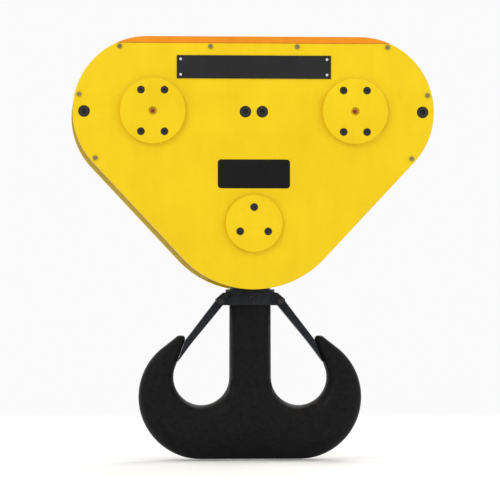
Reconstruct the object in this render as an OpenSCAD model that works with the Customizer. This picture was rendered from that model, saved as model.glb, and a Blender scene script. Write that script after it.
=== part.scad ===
// Lower hook block for a 100 t hoist: six rope sheaves on two axles between two side plates,
// with a swivelling ramshorn hook hung from a tilting crosshead.
// Frame: origin midway between the two sheave axles, at mid depth. X runs across the block,
// Y runs from the front plate to the rear plate, Z is up. Millimetres.

/* [Side plates] */
// Thickness of each side plate
plate_t = 40; // [34:1:46]
// Clear gap between the two side plates
plate_gap = 420; // [418:1:430]
// Distance of each upper lobe's centre from the middle of the block
lobe_x = 440; // [436:1:446]
// Radius of the upper lobes
lobe_r = 310; // [306:1:316]
// Height of the bottom lobe's centre, measured from the axles
chin_z = -337; // [-340:1:-334]
// Radius of the bottom lobe
chin_r = 401; // [398:1:403]
// Height at which the side plates end under the top guard
plate_top = 282; // [280:1:284]

/* [Guards] */
// Thickness of the guards along the two flanks
guard_t = 12; // [8:1:14]
// Half width of the gap at the bottom where the hook's shank swings
chin_gap = 180; // [175:1:200]

/* [Sheaves] */
// Distance of each sheave axle from the middle of the block
axle_x = 420; // [418:1:422]
// Outer radius of the sheaves
sheave_r = 257; // [250:1:258]
// Radius at which the centre of the rope runs
pitch_r = 235; // [233:1:236]
// Nominal rope diameter
rope_d = 26; // [24:1:26]
// Distance from one sheave to the next along the axle
sheave_step = 130; // [129:1:131]
// Radius of the axles
axle_r = 70; // [66:1:70]

/* [Crosshead and hook] */
// Height of the crosshead's tilting axis, measured from the axles
cross_z = -465; // [-467:1:-463]
// Radius of the crosshead's trunnions
trunnion_r = 85; // [80:1:86]
// Radius of the hook's turned shank
shank_r = 85; // [84:1:86]
// Radius of each hook bowl
bowl_r = 118; // [114:1:120]
// Half of the hook's depth at the bottom of the bowls
hook_half_depth = 90; // [80:1:94]

/* [Hidden] */
SHEAVE_NAMES = ["left_front", "left_middle", "left_rear",
                "right_front", "right_middle", "right_rear"];

$fn = 96;
fit = 0.05;                           // radial gap between parts that fit in each other
inner_y = plate_gap / 2;              // inner face of a side plate
outer_y = inner_y + plate_t;          // outer face of a side plate
far = 2000;                           // longer than anything in the block
seam = 0.05;                          // how far straight sides run inside a tangent
core_h = 200;                         // height of the block that ties a plate's lobes together

// Paint and metal colours
yellow = [0.93, 0.72, 0.03];
amber = [0.9, 0.5, 0.05];
olive = [0.62, 0.5, 0.03];
black = [0.08, 0.08, 0.09];
steel = [0.62, 0.63, 0.65];
cast = [0.36, 0.37, 0.38];
bronze = [0.72, 0.52, 0.25];
dark_red = [0.35, 0.06, 0.04];

// Top guard, flank guards and their screws
rope_slot = [160, 210];               // nearest and farthest X of the rope slots
rope_slot_half_y = 165;
lug_half = 16;
lug_drop = 30;                        // how far the top guard's lugs hang below it
lug_depth = 35;
lug_root = 5;                         // how far the lugs reach up into the top guard
screw_in = 18;                        // distance of the guard screws from the plates' edge
hole_floor = 5;                       // metal left behind the screw holes in the lugs
inner_screw = [180, 42];              // X of the inner top screws, and their depth below the top
outer_screw_angle = 66.5;             // where the outer top screws sit on the upper lobes
flank_screw_angle = 13.5;             // where the upper flank screws sit on the upper lobes
guard_top_angle = 22;                 // where the flank guards start on the upper lobes
guard_screw_r = 6;
guard_screw_l = 60;
guard_head_r = 10;
guard_head_h = 6;

// Tie bolts and rope keepers
tie_z = -2;
tie_x = [-703, -35, 35, 703];
tie_r = 15;
tie_head_r = 22;
tie_head_h = 22;
tie_recess = 24;                      // depth and radius of the bolt heads' recesses
tube_r = 20;
socket_r = 11;
tie_sink = 1;                         // how far the bolt heads lie below the plate's face
tie_tail = 5;                         // how far the bolts end short of the rear face
keeper_x = 144;
keeper_r = 10;
keeper_seat = 15;

// Covers over the axle ends and the trunnion ends
axle_cover_r = 136;
axle_cover_t = 22;
axle_cover_holes = [for (sx = [-1, 1], sz = [-1, 1]) [sx * 48.7, sz * 86]];
trunnion_cap_r = 118;
trunnion_cap_t = 18;
trunnion_cap_holes = [for (a = [90, 210, 330]) 67 * [cos(a), sin(a)]];
cap_screw_r = 8;
cap_screw_l = 32;
cap_hole_floor = 8;                   // metal left behind the screw holes in the plates
cap_head_r = 15;
cap_head_h = 10;
cap_recess = 11;
cap_socket_r = 8;
nipple_recess_r = 17;
nipple_recess = 9;
nipple_r = 5;
nipple_cap_r = 9;
nipple_cap_h = 15;
nipple_cap_top = 4;                   // thickness of a nipple cap's closed end
nipple_root = 8;                      // how deep the nipples are screwed in

// Nameplate
plate_mark = [640, 4, 96];            // the blank nameplate's length, thickness and height
plate_mark_z = 183;
rivet_r = 6;
rivet_h = 3;
rivet_in = 16;                        // distance of the rivets from the nameplate's edges

// Sheaves and their roller bearings
hub_r = 132;
hub_half = 48;
bearing_r = 105;
rim_half = 36;
rim_inner_r = 200;
web_half = 11;
rim_blend = 16;                       // depth of the slope from the web to the rim
hub_blend = [10, 14];                 // slope from the web to the hub, outwards and along
web_holes = 6;
web_hole_r = 26;
web_hole_pitch = 166;
groove_r = rope_d / 2 + 1;
groove_tilt = 22.5;                   // slope of the groove's walls
inner_ring_r = axle_r + 12;
outer_ring_r = 99;
ring_half = 47.5;
roller_r = 8;
roller_pitch = inner_ring_r + roller_r + fit;
roller_half = 40;
roller_count = 28;

// Trunnion bushes
bush_r = trunnion_r + 10;
bush_flange_r = 112;
bush_flange_t = 9;

// Crosshead, thrust bearing and hook nut
cross_half_x = 150;
cross_half_y = 200;
cross_half_z = 100;
cross_top = cross_z + cross_half_z;
end_play = 0.5;                       // gap between the trunnion caps and the plates
race_t = 18;
race_r = 148;
thrust_gap = 23;
thrust_roller_l = 34;
thrust_roller_in = 106;
thrust_count = 18;
upper_race_z = cross_top + race_t + thrust_gap;
shroud_t = 3;
shroud_r = 156;
shroud_wall = 4;
shroud_lift = 5;                      // gap under the shroud's skirt
nut_z = upper_race_z + race_t + shroud_t;
nut_r = 150;
nut_h = 130;
nut_top = nut_z + nut_h;
thread_r = 80;
lock_bar = [280, 50, 16];
lock_screw_x = 115;
lock_screw_l = 40;
lock_head_r = 13;

// Hook, in the plane of its horns
neck_r = 87.5;
neck_top = -742;
neck_straight = -805;
bowl_c = [neck_r + bowl_r - 0.5, -1105];
hook_bottom = -1450;
horn_c = [208, -1188];
horn_r = 262;
throat_angle = 20;                    // where the straight throat leaves the bowl's circle
throat_l = 130.5;
tip_outer = [318, -942];
tip_top = [[279, -930], [305, -930]];
tip_half_depth = 40;
squareness = 2.6;                     // 2 gives oval cross-sections of the horns, more gives squarer
horn_arc_end = 54;                    // where the outside of a horn leaves its circle
horn_arc_share = 1 / 1.4;             // how much of the throat's length that takes
core_x = 60;                          // a cross-section inside the shank
ring_sides = 24;                      // corners of each cross-section of the hook

// Latches and their collar
pivot = [124, -785];
pin_r = 10;
pin_half = 64;
pin_head_r = 14;
latch_tilt = 38.8;                    // angle of a closed latch from the vertical
latch_half_y = 30;
boss_r = 18;
collar_z = [-803, -736];
collar_r = 103.5;
collar_bore = neck_r + 0.8;
ear_y = [44, 58];
spring_y = [31.5, 42.5];
spring_r = [12, 17];
collar_screw_z = -774;
bar_half_t = [17, 15];                // half thickness of a latch at its boss and near its toe
bar_l = 210;                          // length of a latch's lower edge
rest_gap = 1.5;                       // gap between a closed latch and its horn
rest_span = [26, 123];                // where the latch's end face starts and ends on the throat
ear_shape = [[80, collar_z[1] - 10], [112, collar_z[1] - 14], [144, pivot[1] + 8],
             [144, pivot[1] - 8], [136, collar_z[0]], [80, collar_z[0]]];

// ---- helpers -------------------------------------------------------------------------------

// A flat shape drawn in X and Z, filled from depth y0 to depth y1
module slab(y0, y1) {
    translate([0, y1, 0]) rotate([90, 0, 0]) linear_extrude(y1 - y0) children();
}

// A rod along Y
module rod(x, z, r, y0, y1) {
    translate([x, y0, z]) rotate([-90, 0, 0]) cylinder(r = r, h = y1 - y0);
}

// A tube along Y
module tube(x, z, r_out, r_in, y0, y1) {
    difference() {
        rod(x, z, r_out, y0, y1);
        rod(x, z, r_in, y0 - 1, y1 + 1);
    }
}

// A ring about Z
module ring(z, h, r_out, r_in) {
    translate([0, 0, z]) difference() {
        cylinder(r = r_out, h = h);
        translate([0, 0, -1]) cylinder(r = r_in, h = h + 2);
    }
}

// What is drawn at the front, and its copy at the rear
module front_and_rear() {
    children();
    mirror([0, 1, 0]) children();
}

// What is drawn on the right, and its copy on the left
module both_sides() {
    children();
    mirror([1, 0, 0]) children();
}

// A socket screw along Y at the front: its head ends at depth y, its shank goes on from there
module socket_screw(x, z, y, head_r, head_h, shank_r, shank_l, hex_r) {
    difference() {
        union() {
            rod(x, z, head_r, y, y + head_h);
            rod(x, z, shank_r, y + head_h - 1, y + head_h + shank_l);
        }
        translate([x, y - 1, z]) rotate([-90, 0, 0])
            cylinder(r = hex_r, h = head_h * 0.6 + 1, $fn = 6);
    }
}

// Direction, from an upper lobe's centre, in which the straight flank leaves it
flank_angle = atan2(-chin_z, lobe_x) - acos((chin_r - lobe_r) / norm([lobe_x, chin_z]));

// The side plates' outline, drawn in by inset. Its straight sides run a hair inside the
// lobes' tangents, so that they cross the arcs cleanly
module outline(inset = 0) {
    n = [cos(flank_angle), sin(flank_angle)];
    a = [lobe_x, 0] + (lobe_r - inset - seam) * n;
    b = [0, chin_z] + (chin_r - inset - seam) * n;
    top = lobe_r - inset - seam;
    for (sx = [-1, 1]) translate([sx * lobe_x, 0]) circle(r = lobe_r - inset);
    translate([0, chin_z]) circle(r = chin_r - inset);
    polygon([[lobe_x, top], a, b, [0, chin_z], [-b[0], b[1]], [-a[0], a[1]], [-lobe_x, top]]);
}

// A place on the right lobe, screw_in from its edge
function on_lobe(angle) = [lobe_x, 0] + (lobe_r - screw_in) * [cos(angle), sin(angle)];

top_screws = [[inner_screw[0], lobe_r - inner_screw[1]], on_lobe(outer_screw_angle)];
flank_screws = [on_lobe(flank_screw_angle), on_lobe(flank_angle + 1)];

// ---- side plates and guards ------------------------------------------------------------------

// The front plate. Its outer face looks along -Y
module side_plate() {
    color(yellow) difference() {
        union() {
            slab(-outer_y, -inner_y) outline();
            // The plate's core joins the lobes into one piece of metal
            translate([-lobe_x, -outer_y, -core_h / 2]) cube([2 * lobe_x, plate_t, core_h]);
        }
        translate([-far, -far / 2, plate_top]) cube([2 * far, far, far]);
        for (sx = [-1, 1]) {
            rod(sx * axle_x, 0, axle_r + fit, -outer_y - 1, -inner_y + 1);
            for (h = axle_cover_holes)
                rod(sx * axle_x + h[0], h[1], cap_screw_r + fit, -outer_y - 1, -inner_y - cap_hole_floor);
            for (p = concat(top_screws, flank_screws))
                rod(sx * p[0], p[1], guard_screw_r + fit, -outer_y - 1, -inner_y + 1);
            rod(sx * keeper_x, 0, keeper_r + fit, -inner_y - keeper_seat, -inner_y + 1);
        }
        rod(0, cross_z, bush_r + fit, -outer_y - 1, -inner_y + 1);
        for (x = tie_x) {
            rod(x, tie_z, tie_r + fit, -outer_y - 1, -inner_y + 1);
            rod(x, tie_z, tie_recess, -outer_y - 1, -outer_y + tie_recess);
        }
    }
}

module front_side_plate() side_plate();
module rear_side_plate() mirror([0, 1, 0]) side_plate();

module top_guard() {
    color(amber) difference() {
        union() {
            slab(-outer_y, outer_y) intersection() {
                outline();
                translate([-far, plate_top]) square([2 * far, far]);
            }
            front_and_rear() both_sides()
                slab(-inner_y, -inner_y + lug_depth) intersection() {
                    outline(1);
                    for (p = top_screws)
                        translate([p[0] - lug_half, plate_top - lug_drop])
                            square([2 * lug_half, lug_drop + lug_root]);
                }
        }
        both_sides() translate([rope_slot[0], -rope_slot_half_y, 0])
            cube([rope_slot[1] - rope_slot[0], 2 * rope_slot_half_y, far]);
        front_and_rear() both_sides() for (p = top_screws)
            rod(p[0], p[1], guard_screw_r + fit, -inner_y - 1, -inner_y + lug_depth - hole_floor);
    }
}

module flank_guard() {
    color(olive) difference() {
        union() {
            slab(-inner_y, inner_y) intersection() {
                difference() {
                    outline();
                    outline(guard_t);
                }
                polygon([[lobe_x, 0], [lobe_x, 0] + far * [cos(guard_top_angle), sin(guard_top_angle)],
                         [far, -far], [chin_gap, -far], [chin_gap, chin_z]]);
            }
            for (p = flank_screws) rod(p[0], p[1], lug_half, -inner_y, inner_y);
        }
        front_and_rear() for (p = flank_screws)
            rod(p[0], p[1], guard_screw_r + fit, -inner_y - 1, -inner_y + lug_depth - hole_floor);
    }
}

module right_flank_guard() flank_guard();
module left_flank_guard() mirror([1, 0, 0]) flank_guard();

module guard_screws() {
    color(black) front_and_rear() both_sides() for (p = concat(top_screws, flank_screws))
        socket_screw(p[0], p[1], -outer_y - guard_head_h, guard_head_r, guard_head_h,
                     guard_screw_r, guard_screw_l, guard_screw_r * 0.8);
}

module tie_bolts() {
    color(black) for (x = tie_x)
        socket_screw(x, tie_z, -outer_y + tie_sink, tie_head_r, tie_head_h, tie_r,
                     2 * outer_y - tie_sink - tie_head_h - tie_tail, socket_r);
}

module tie_bolt_nuts() {
    color(black) for (x = tie_x) difference() {
        translate([x, outer_y - tie_recess, tie_z]) rotate([-90, 0, 0])
            cylinder(r = tie_head_r, h = tie_head_h, $fn = 6);
        rod(x, tie_z, tie_r + fit, inner_y, outer_y + 1);
    }
}

module tie_spacer_tubes() {
    color(steel) for (x = tie_x) tube(x, tie_z, tube_r, tie_r + fit, -inner_y, inner_y);
}

module rope_keeper_bars() {
    color(steel) for (sx = [-1, 1])
        rod(sx * keeper_x, 0, keeper_r, -inner_y - keeper_seat, inner_y + keeper_seat);
}

// ---- axles, covers and bushes ----------------------------------------------------------------

module axle(x) {
    color(steel) rod(x, 0, axle_r, -outer_y, outer_y);
}

module left_axle() axle(-axle_x);
module right_axle() axle(axle_x);

module axle_spacers() {
    ends = [-inner_y, -sheave_step - ring_half];
    between = [-sheave_step + ring_half, -ring_half];
    color(steel) both_sides() front_and_rear() for (y = [ends, between])
        tube(axle_x, 0, inner_ring_r, axle_r + fit, y[0], y[1]);
}

module bearing_inner_rings() {
    color(steel) both_sides() for (k = [-1:1])
        tube(axle_x, 0, inner_ring_r, axle_r + fit,
             k * sheave_step - ring_half, k * sheave_step + ring_half);
}

module axle_covers() {
    color(yellow) for (sx = [-1, 1]) difference() {
        rod(sx * axle_x, 0, axle_cover_r, -outer_y - axle_cover_t, -outer_y);
        rod(sx * axle_x, 0, nipple_recess_r, -outer_y - axle_cover_t - 1,
            -outer_y - axle_cover_t + nipple_recess);
        rod(sx * axle_x, 0, nipple_r + fit, -outer_y - axle_cover_t, -outer_y + 1);
        for (h = axle_cover_holes) {
            rod(sx * axle_x + h[0], h[1], cap_screw_r + fit, -outer_y - axle_cover_t, -outer_y + 1);
            rod(sx * axle_x + h[0], h[1], cap_head_r + 1, -outer_y - axle_cover_t - 1,
                -outer_y - axle_cover_t + cap_recess);
        }
    }
}

module front_axle_covers() axle_covers();
module rear_axle_covers() mirror([0, 1, 0]) axle_covers();

module axle_cover_screws() {
    color(black) front_and_rear() for (sx = [-1, 1], h = axle_cover_holes)
        socket_screw(sx * axle_x + h[0], h[1], -outer_y - axle_cover_t + cap_recess - cap_head_h,
                     cap_head_r, cap_head_h, cap_screw_r, cap_screw_l, cap_socket_r);
}

module grease_nipples() {
    y = -outer_y - axle_cover_t + nipple_recess;
    color(bronze) front_and_rear() for (sx = [-1, 1]) {
        rod(sx * axle_x, 0, nipple_r, y - nipple_cap_h + nipple_cap_top, y + nipple_root);
    }
}

module nipple_caps() {
    y = -outer_y - axle_cover_t + nipple_recess;
    color(dark_red) front_and_rear() for (sx = [-1, 1]) difference() {
        rod(sx * axle_x, 0, nipple_cap_r, y - nipple_cap_h, y);
        rod(sx * axle_x, 0, nipple_r + fit, y - nipple_cap_h + nipple_cap_top, y + 1);
    }
}

module trunnion_bushes() {
    color(bronze) front_and_rear() difference() {
        union() {
            rod(0, cross_z, bush_r, -outer_y, -inner_y);
            rod(0, cross_z, bush_flange_r, -inner_y, -inner_y + bush_flange_t);
        }
        rod(0, cross_z, trunnion_r + fit, -outer_y - 1, -inner_y + bush_flange_t + 1);
    }
}

module blank_nameplate() {
    color(black) translate([-plate_mark[0] / 2, -outer_y - plate_mark[1],
                            plate_mark_z - plate_mark[2] / 2]) cube(plate_mark);
}

module nameplate_rivets() {
    color(steel) for (sx = [-1, 1], sz = [-1, 1])
        rod(sx * (plate_mark[0] / 2 - rivet_in), plate_mark_z + sz * (plate_mark[2] / 2 - rivet_in),
            rivet_r, -outer_y - plate_mark[1] - rivet_h, -outer_y - plate_mark[1]);
}

// ---- sheaves ---------------------------------------------------------------------------------

// Half of a sheave's section, as [radius, distance from its middle plane]
function groove_points() = [for (a = [0:7.5:90 - groove_tilt])
    [pitch_r - groove_r * cos(a), groove_r * sin(a)]];
function sheave_half() = let (
    g = groove_points(), e = g[len(g) - 1],
    lip = e[1] + (sheave_r - e[0]) * tan(groove_tilt)
) concat(g, [[sheave_r, lip], [sheave_r, rim_half], [rim_inner_r + rim_blend, rim_half],
             [rim_inner_r, web_half], [hub_r + hub_blend[0], web_half], [hub_r, web_half + hub_blend[1]],
             [hub_r, hub_half], [bearing_r + fit, hub_half]]);

module sheave(k) {
    half = sheave_half();
    other = [for (i = [len(half) - 1:-1:1]) [half[i][0], -half[i][1]]];
    x = k < 3 ? -axle_x : axle_x;
    y = (k % 3 - 1) * sheave_step;
    color(cast) translate([x, y, 0]) rotate([90, 0, 0]) difference() {
        rotate_extrude() polygon(concat(half, other));
        for (i = [0:web_holes - 1]) rotate(i * 360 / web_holes)
            translate([web_hole_pitch, 0, -far / 2]) cylinder(r = web_hole_r, h = far);
    }
}

module outer_ring(k) {
    x = k < 3 ? -axle_x : axle_x;
    y = (k % 3 - 1) * sheave_step;
    color(steel) tube(x, 0, bearing_r, outer_ring_r, y - ring_half, y + ring_half);
}

module rollers(k) {
    x = k < 3 ? -axle_x : axle_x;
    y = (k % 3 - 1) * sheave_step;
    color(steel) for (i = [0:roller_count - 1]) let (a = i * 360 / roller_count)
        rod(x + roller_pitch * cos(a), roller_pitch * sin(a), roller_r,
            y - roller_half, y + roller_half);
}

// ---- crosshead and thrust bearing ------------------------------------------------------------

module crosshead() {
    color(cast) difference() {
        union() {
            translate([-cross_half_x, -cross_half_y, cross_z - cross_half_z])
                cube([2 * cross_half_x, 2 * cross_half_y, 2 * cross_half_z]);
            rod(0, cross_z, trunnion_r, -outer_y - end_play, outer_y + end_play);
        }
        translate([0, 0, cross_z - far / 2]) cylinder(r = shank_r + fit, h = far);
        front_and_rear() for (h = trunnion_cap_holes)
            rod(h[0], cross_z + h[1], cap_screw_r + fit, -outer_y - 1 - end_play,
                -outer_y + cap_screw_l);
    }
}

module trunnion_cap() {
    y = -outer_y - end_play - trunnion_cap_t;
    color(yellow) difference() {
        rod(0, cross_z, trunnion_cap_r, y, y + trunnion_cap_t);
        for (h = trunnion_cap_holes) {
            rod(h[0], cross_z + h[1], cap_screw_r + fit, y, y + trunnion_cap_t + 1);
            rod(h[0], cross_z + h[1], cap_head_r + 1, y - 1, y + cap_recess);
        }
    }
}

module front_trunnion_cap() trunnion_cap();
module rear_trunnion_cap() mirror([0, 1, 0]) trunnion_cap();

module trunnion_cap_screws() {
    y = -outer_y - end_play - trunnion_cap_t + cap_recess - cap_head_h;
    color(black) front_and_rear() for (h = trunnion_cap_holes)
        socket_screw(h[0], cross_z + h[1], y, cap_head_r, cap_head_h, cap_screw_r, cap_screw_l,
                     cap_socket_r);
}

module thrust_lower_race() {
    color(steel) ring(cross_top, race_t, race_r, shank_r + 1);
}

module thrust_upper_race() {
    color(steel) ring(upper_race_z, race_t, race_r, shank_r + fit);
}

module thrust_rollers() {
    color(steel) for (i = [0:thrust_count - 1]) rotate(i * 360 / thrust_count)
        translate([thrust_roller_in, 0, cross_top + race_t + thrust_gap / 2]) rotate([0, 90, 0])
            cylinder(r = thrust_gap / 2 - fit, h = thrust_roller_l);
}

module thrust_dust_shroud() {
    skirt = nut_z - cross_top - shroud_lift;
    color(steel) {
        ring(cross_top + shroud_lift, skirt, shroud_r, shroud_r - shroud_wall);
        ring(nut_z - shroud_t, shroud_t, shroud_r - shroud_wall / 2, shank_r + fit);
    }
}

// ---- hook ------------------------------------------------------------------------------------

// One cross-section of the forging: between an inner and an outer point in the plane of the
// horns, with a half depth, and rounder for a low power
function section(inner, outer, half_depth, power) = [for (i = [0:ring_sides - 1])
    let (a = i * 360 / ring_sides, c = cos(a), s = sin(a), mid = (inner + outer) / 2,
         p = mid + (outer - mid) * sign(c) * pow(abs(c), 2 / power))
    [p[0], half_depth * sign(s) * pow(abs(s), 2 / power), p[1]]];

// A horizontal cross-section of the neck
function neck_section(z, half_x, half_y, power) = [for (i = [0:ring_sides - 1])
    let (a = i * 360 / ring_sides, c = cos(a), s = sin(a))
    [half_x * sign(c) * pow(abs(c), 2 / power), half_y * sign(s) * pow(abs(s), 2 / power), z]];

// A closed skin over a row of cross-sections
module skin(sections) {
    n = ring_sides;
    last = len(sections) - 1;
    polyhedron(
        points = [for (s = sections, p = s) p],
        faces = concat(
            [[for (i = [0:n - 1]) i]],
            [[for (i = [n - 1:-1:0]) last * n + i]],
            [for (k = [0:last - 1], i = [0:n - 1]) let (j = (i + 1) % n)
                each [[k * n + i, (k + 1) * n + i, (k + 1) * n + j],
                      [k * n + i, (k + 1) * n + j, k * n + j]]]
        ));
}

// Where a ray from the bowl's centre meets the outside of the horn
function outside_at(dir) = let (d = bowl_c - horn_c, b = d * dir, c = d * d - horn_r * horn_r)
    bowl_c + dir * (-b + sqrt(b * b - c));

throat_dir = [-sin(throat_angle), cos(throat_angle)];
throat_start = bowl_c + bowl_r * [cos(throat_angle), sin(throat_angle)];
bend_outer = outside_at([cos(throat_angle), sin(throat_angle)]);
bend_steps = 22;
tip_steps = 7;

function bowl_section(k) = let (a = 270 + k * (90 + throat_angle) / bend_steps,
    d = [cos(a), sin(a)], t = k / (bend_steps + tip_steps))
    section(bowl_c + bowl_r * d, outside_at(d), hook_half_depth * (1 - t) + tip_half_depth * t, squareness);

// From the bend to the tip the outside follows its circle and then a straight line
function tip_section(k) = let (s = k / tip_steps, t = (bend_steps + k) / (bend_steps + tip_steps),
    inner = throat_start + throat_dir * throat_l * s,
    start = atan2(bend_outer[1] - horn_c[1], bend_outer[0] - horn_c[0]),
    a = start + (horn_arc_end - start) * min(1, s / horn_arc_share),
    on_circle = horn_c + horn_r * [cos(a), sin(a)],
    u = max(0, (s - horn_arc_share) / (1 - horn_arc_share)),
    outer = on_circle * (1 - u) + tip_outer * u)
    section(inner, outer, hook_half_depth * (1 - t) + tip_half_depth * t, squareness);

function root_section(a) = let (x = bowl_c[0] - bowl_r * cos(a))
    section([x, bowl_c[1] - bowl_r * sin(a)], [x, hook_bottom], hook_half_depth, squareness);

right_horn = concat(
    [for (x = [0, core_x]) section([x, bowl_c[1]], [x, hook_bottom], hook_half_depth, squareness)],
    [for (a = [4, 12, 22, 34, 46, 58, 70, 80]) root_section(a)],
    [for (k = [0:bend_steps]) bowl_section(k)],
    [for (k = [1:tip_steps]) tip_section(k)],
    [section(tip_top[0], tip_top[1], tip_half_depth * 0.6, 2.2)]
);
function flipped(s) = [for (p = s) [-p[0], p[1], p[2]]];
all_horns = concat([for (i = [len(right_horn) - 1:-1:1]) flipped(right_horn[i])], right_horn);

neck_sections = [
    neck_section(-1260, neck_r, 80, 2.5), neck_section(-1200, neck_r + 4, 86, 2.6),
    neck_section(-1150, neck_r + 4, 88, 2.7), neck_section(-1105, neck_r, 89.5, 2.7),
    neck_section(-1000, neck_r, 88.5, 2.4), neck_section(-900, neck_r, neck_r, 2.15),
    neck_section(neck_straight, neck_r, neck_r, 2), neck_section(neck_top, neck_r, neck_r, 2)
];

module ramshorn_hook() {
    color(black) difference() {
        union() {
            // A resize to no size changes nothing, but makes the two skins one meshed body
            resize([0, 0, 0]) union() {
                skin(all_horns);
                skin(neck_sections);
            }
            translate([0, 0, neck_top - 10]) cylinder(r = shank_r, h = nut_z - neck_top + 10);
            translate([0, 0, nut_z - 1]) cylinder(r = thread_r, h = nut_h + lock_bar[2] + 1);
        }
        translate([-far / 2, -lock_bar[1] / 2 - fit, nut_top]) cube([far, lock_bar[1] + 2 * fit, far]);
    }
}

module hook_nut() {
    color(steel) difference() {
        ring(nut_z, nut_h, nut_r, thread_r + fit);
        for (sx = [-1, 1]) translate([sx * lock_screw_x, 0, nut_top - cap_screw_l])
            cylinder(r = cap_screw_r + fit, h = cap_screw_l + 1);
    }
}

module nut_lock_bar() {
    color(steel) difference() {
        translate([-lock_bar[0] / 2, -lock_bar[1] / 2, nut_top]) cube(lock_bar);
        for (sx = [-1, 1]) translate([sx * lock_screw_x, 0, nut_top - 1])
            cylinder(r = cap_screw_r + fit, h = lock_bar[2] + 2);
    }
}

module lock_bar_screws() {
    top = nut_top + lock_bar[2];
    color(black) for (sx = [-1, 1]) translate([sx * lock_screw_x, 0, 0]) difference() {
        union() {
            translate([0, 0, top - lock_screw_l]) cylinder(r = cap_screw_r, h = lock_screw_l + 1);
            translate([0, 0, top]) cylinder(r = lock_head_r, h = cap_head_h);
        }
        translate([0, 0, top + cap_head_h * 0.4]) cylinder(r = cap_socket_r, h = cap_head_h, $fn = 6);
    }
}

// ---- latches ---------------------------------------------------------------------------------

module latch_collar() {
    color(black) difference() {
        union() {
            translate([0, 0, collar_z[0]])
                cylinder(r = collar_r, h = collar_z[1] - collar_z[0]);
            front_and_rear() both_sides() slab(-ear_y[1], -ear_y[0]) polygon(ear_shape);
        }
        translate([0, 0, -far / 2 + collar_z[0]]) cylinder(r = collar_bore, h = far);
        both_sides() rod(pivot[0], pivot[1], pin_r + fit, -pin_half, pin_half);
        front_and_rear() rod(0, collar_screw_z, guard_screw_r + fit, -collar_r - 1, -pin_half);
    }
}

module collar_screws() {
    color(steel) front_and_rear()
        socket_screw(0, collar_screw_z, -collar_r - guard_head_h, guard_head_r, guard_head_h,
                     guard_screw_r, collar_r - collar_bore, guard_screw_r * 0.8);
}

module latch_pins() {
    color(steel) both_sides() {
        rod(pivot[0], pivot[1], pin_r, -pin_half, pin_half);
        front_and_rear() rod(pivot[0], pivot[1], pin_head_r, -pin_half, -ear_y[1]);
    }
}

module latch_springs() {
    color(steel) front_and_rear() both_sides()
        tube(pivot[0], pivot[1], spring_r[1], spring_r[0], -spring_y[1], -spring_y[0]);
}

// A closed latch, resting just off the straight throat face of its horn
module latch() {
    d = [sin(latch_tilt), -cos(latch_tilt)];
    n = [cos(latch_tilt), sin(latch_tilt)];
    off = -rest_gap * [cos(throat_angle), sin(throat_angle)];
    upper = throat_start + throat_dir * rest_span[1] + off;
    toe = throat_start + throat_dir * rest_span[0] + off;
    color(black) difference() {
        union() {
            rod(pivot[0], pivot[1], boss_r, -latch_half_y, latch_half_y);
            slab(-latch_half_y, latch_half_y)
                polygon([pivot + bar_half_t[0] * n, upper, toe,
                         pivot + bar_l * d - bar_half_t[1] * n, pivot - bar_half_t[0] * n]);
        }
        rod(pivot[0], pivot[1], pin_r + fit, -latch_half_y - 1, latch_half_y + 1);
    }
}

module right_latch() latch();
module left_latch() mirror([1, 0, 0]) latch();

// ---- nodes -----------------------------------------------------------------------------------

front_side_plate();
rear_side_plate();
top_guard();
left_flank_guard();
right_flank_guard();
guard_screws();
tie_bolts();
tie_bolt_nuts();
tie_spacer_tubes();
rope_keeper_bars();
left_axle();
right_axle();
axle_spacers();
bearing_inner_rings();
front_axle_covers();
rear_axle_covers();
axle_cover_screws();
grease_nipples();
nipple_caps();
trunnion_bushes();
blank_nameplate();
nameplate_rivets();
sheave(0);  // left_front_sheave
sheave(1);  // left_middle_sheave
sheave(2);  // left_rear_sheave
sheave(3);  // right_front_sheave
sheave(4);  // right_middle_sheave
sheave(5);  // right_rear_sheave
outer_ring(0);  // left_front_outer_ring
outer_ring(1);  // left_middle_outer_ring
outer_ring(2);  // left_rear_outer_ring
outer_ring(3);  // right_front_outer_ring
outer_ring(4);  // right_middle_outer_ring
outer_ring(5);  // right_rear_outer_ring
rollers(0);  // left_front_rollers
rollers(1);  // left_middle_rollers
rollers(2);  // left_rear_rollers
rollers(3);  // right_front_rollers
rollers(4);  // right_middle_rollers
rollers(5);  // right_rear_rollers
crosshead();
front_trunnion_cap();
rear_trunnion_cap();
trunnion_cap_screws();
thrust_lower_race();
thrust_rollers();
thrust_upper_race();
thrust_dust_shroud();
ramshorn_hook();
hook_nut();
nut_lock_bar();
lock_bar_screws();
latch_collar();
collar_screws();
latch_pins();
latch_springs();
left_latch();
right_latch();
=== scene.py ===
"""Looks of the crane hook block: painted casing, forged hook, latches, sheaves and fasteners."""
import math

import bmesh
import bpy
from mathutils import Matrix, Vector


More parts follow.
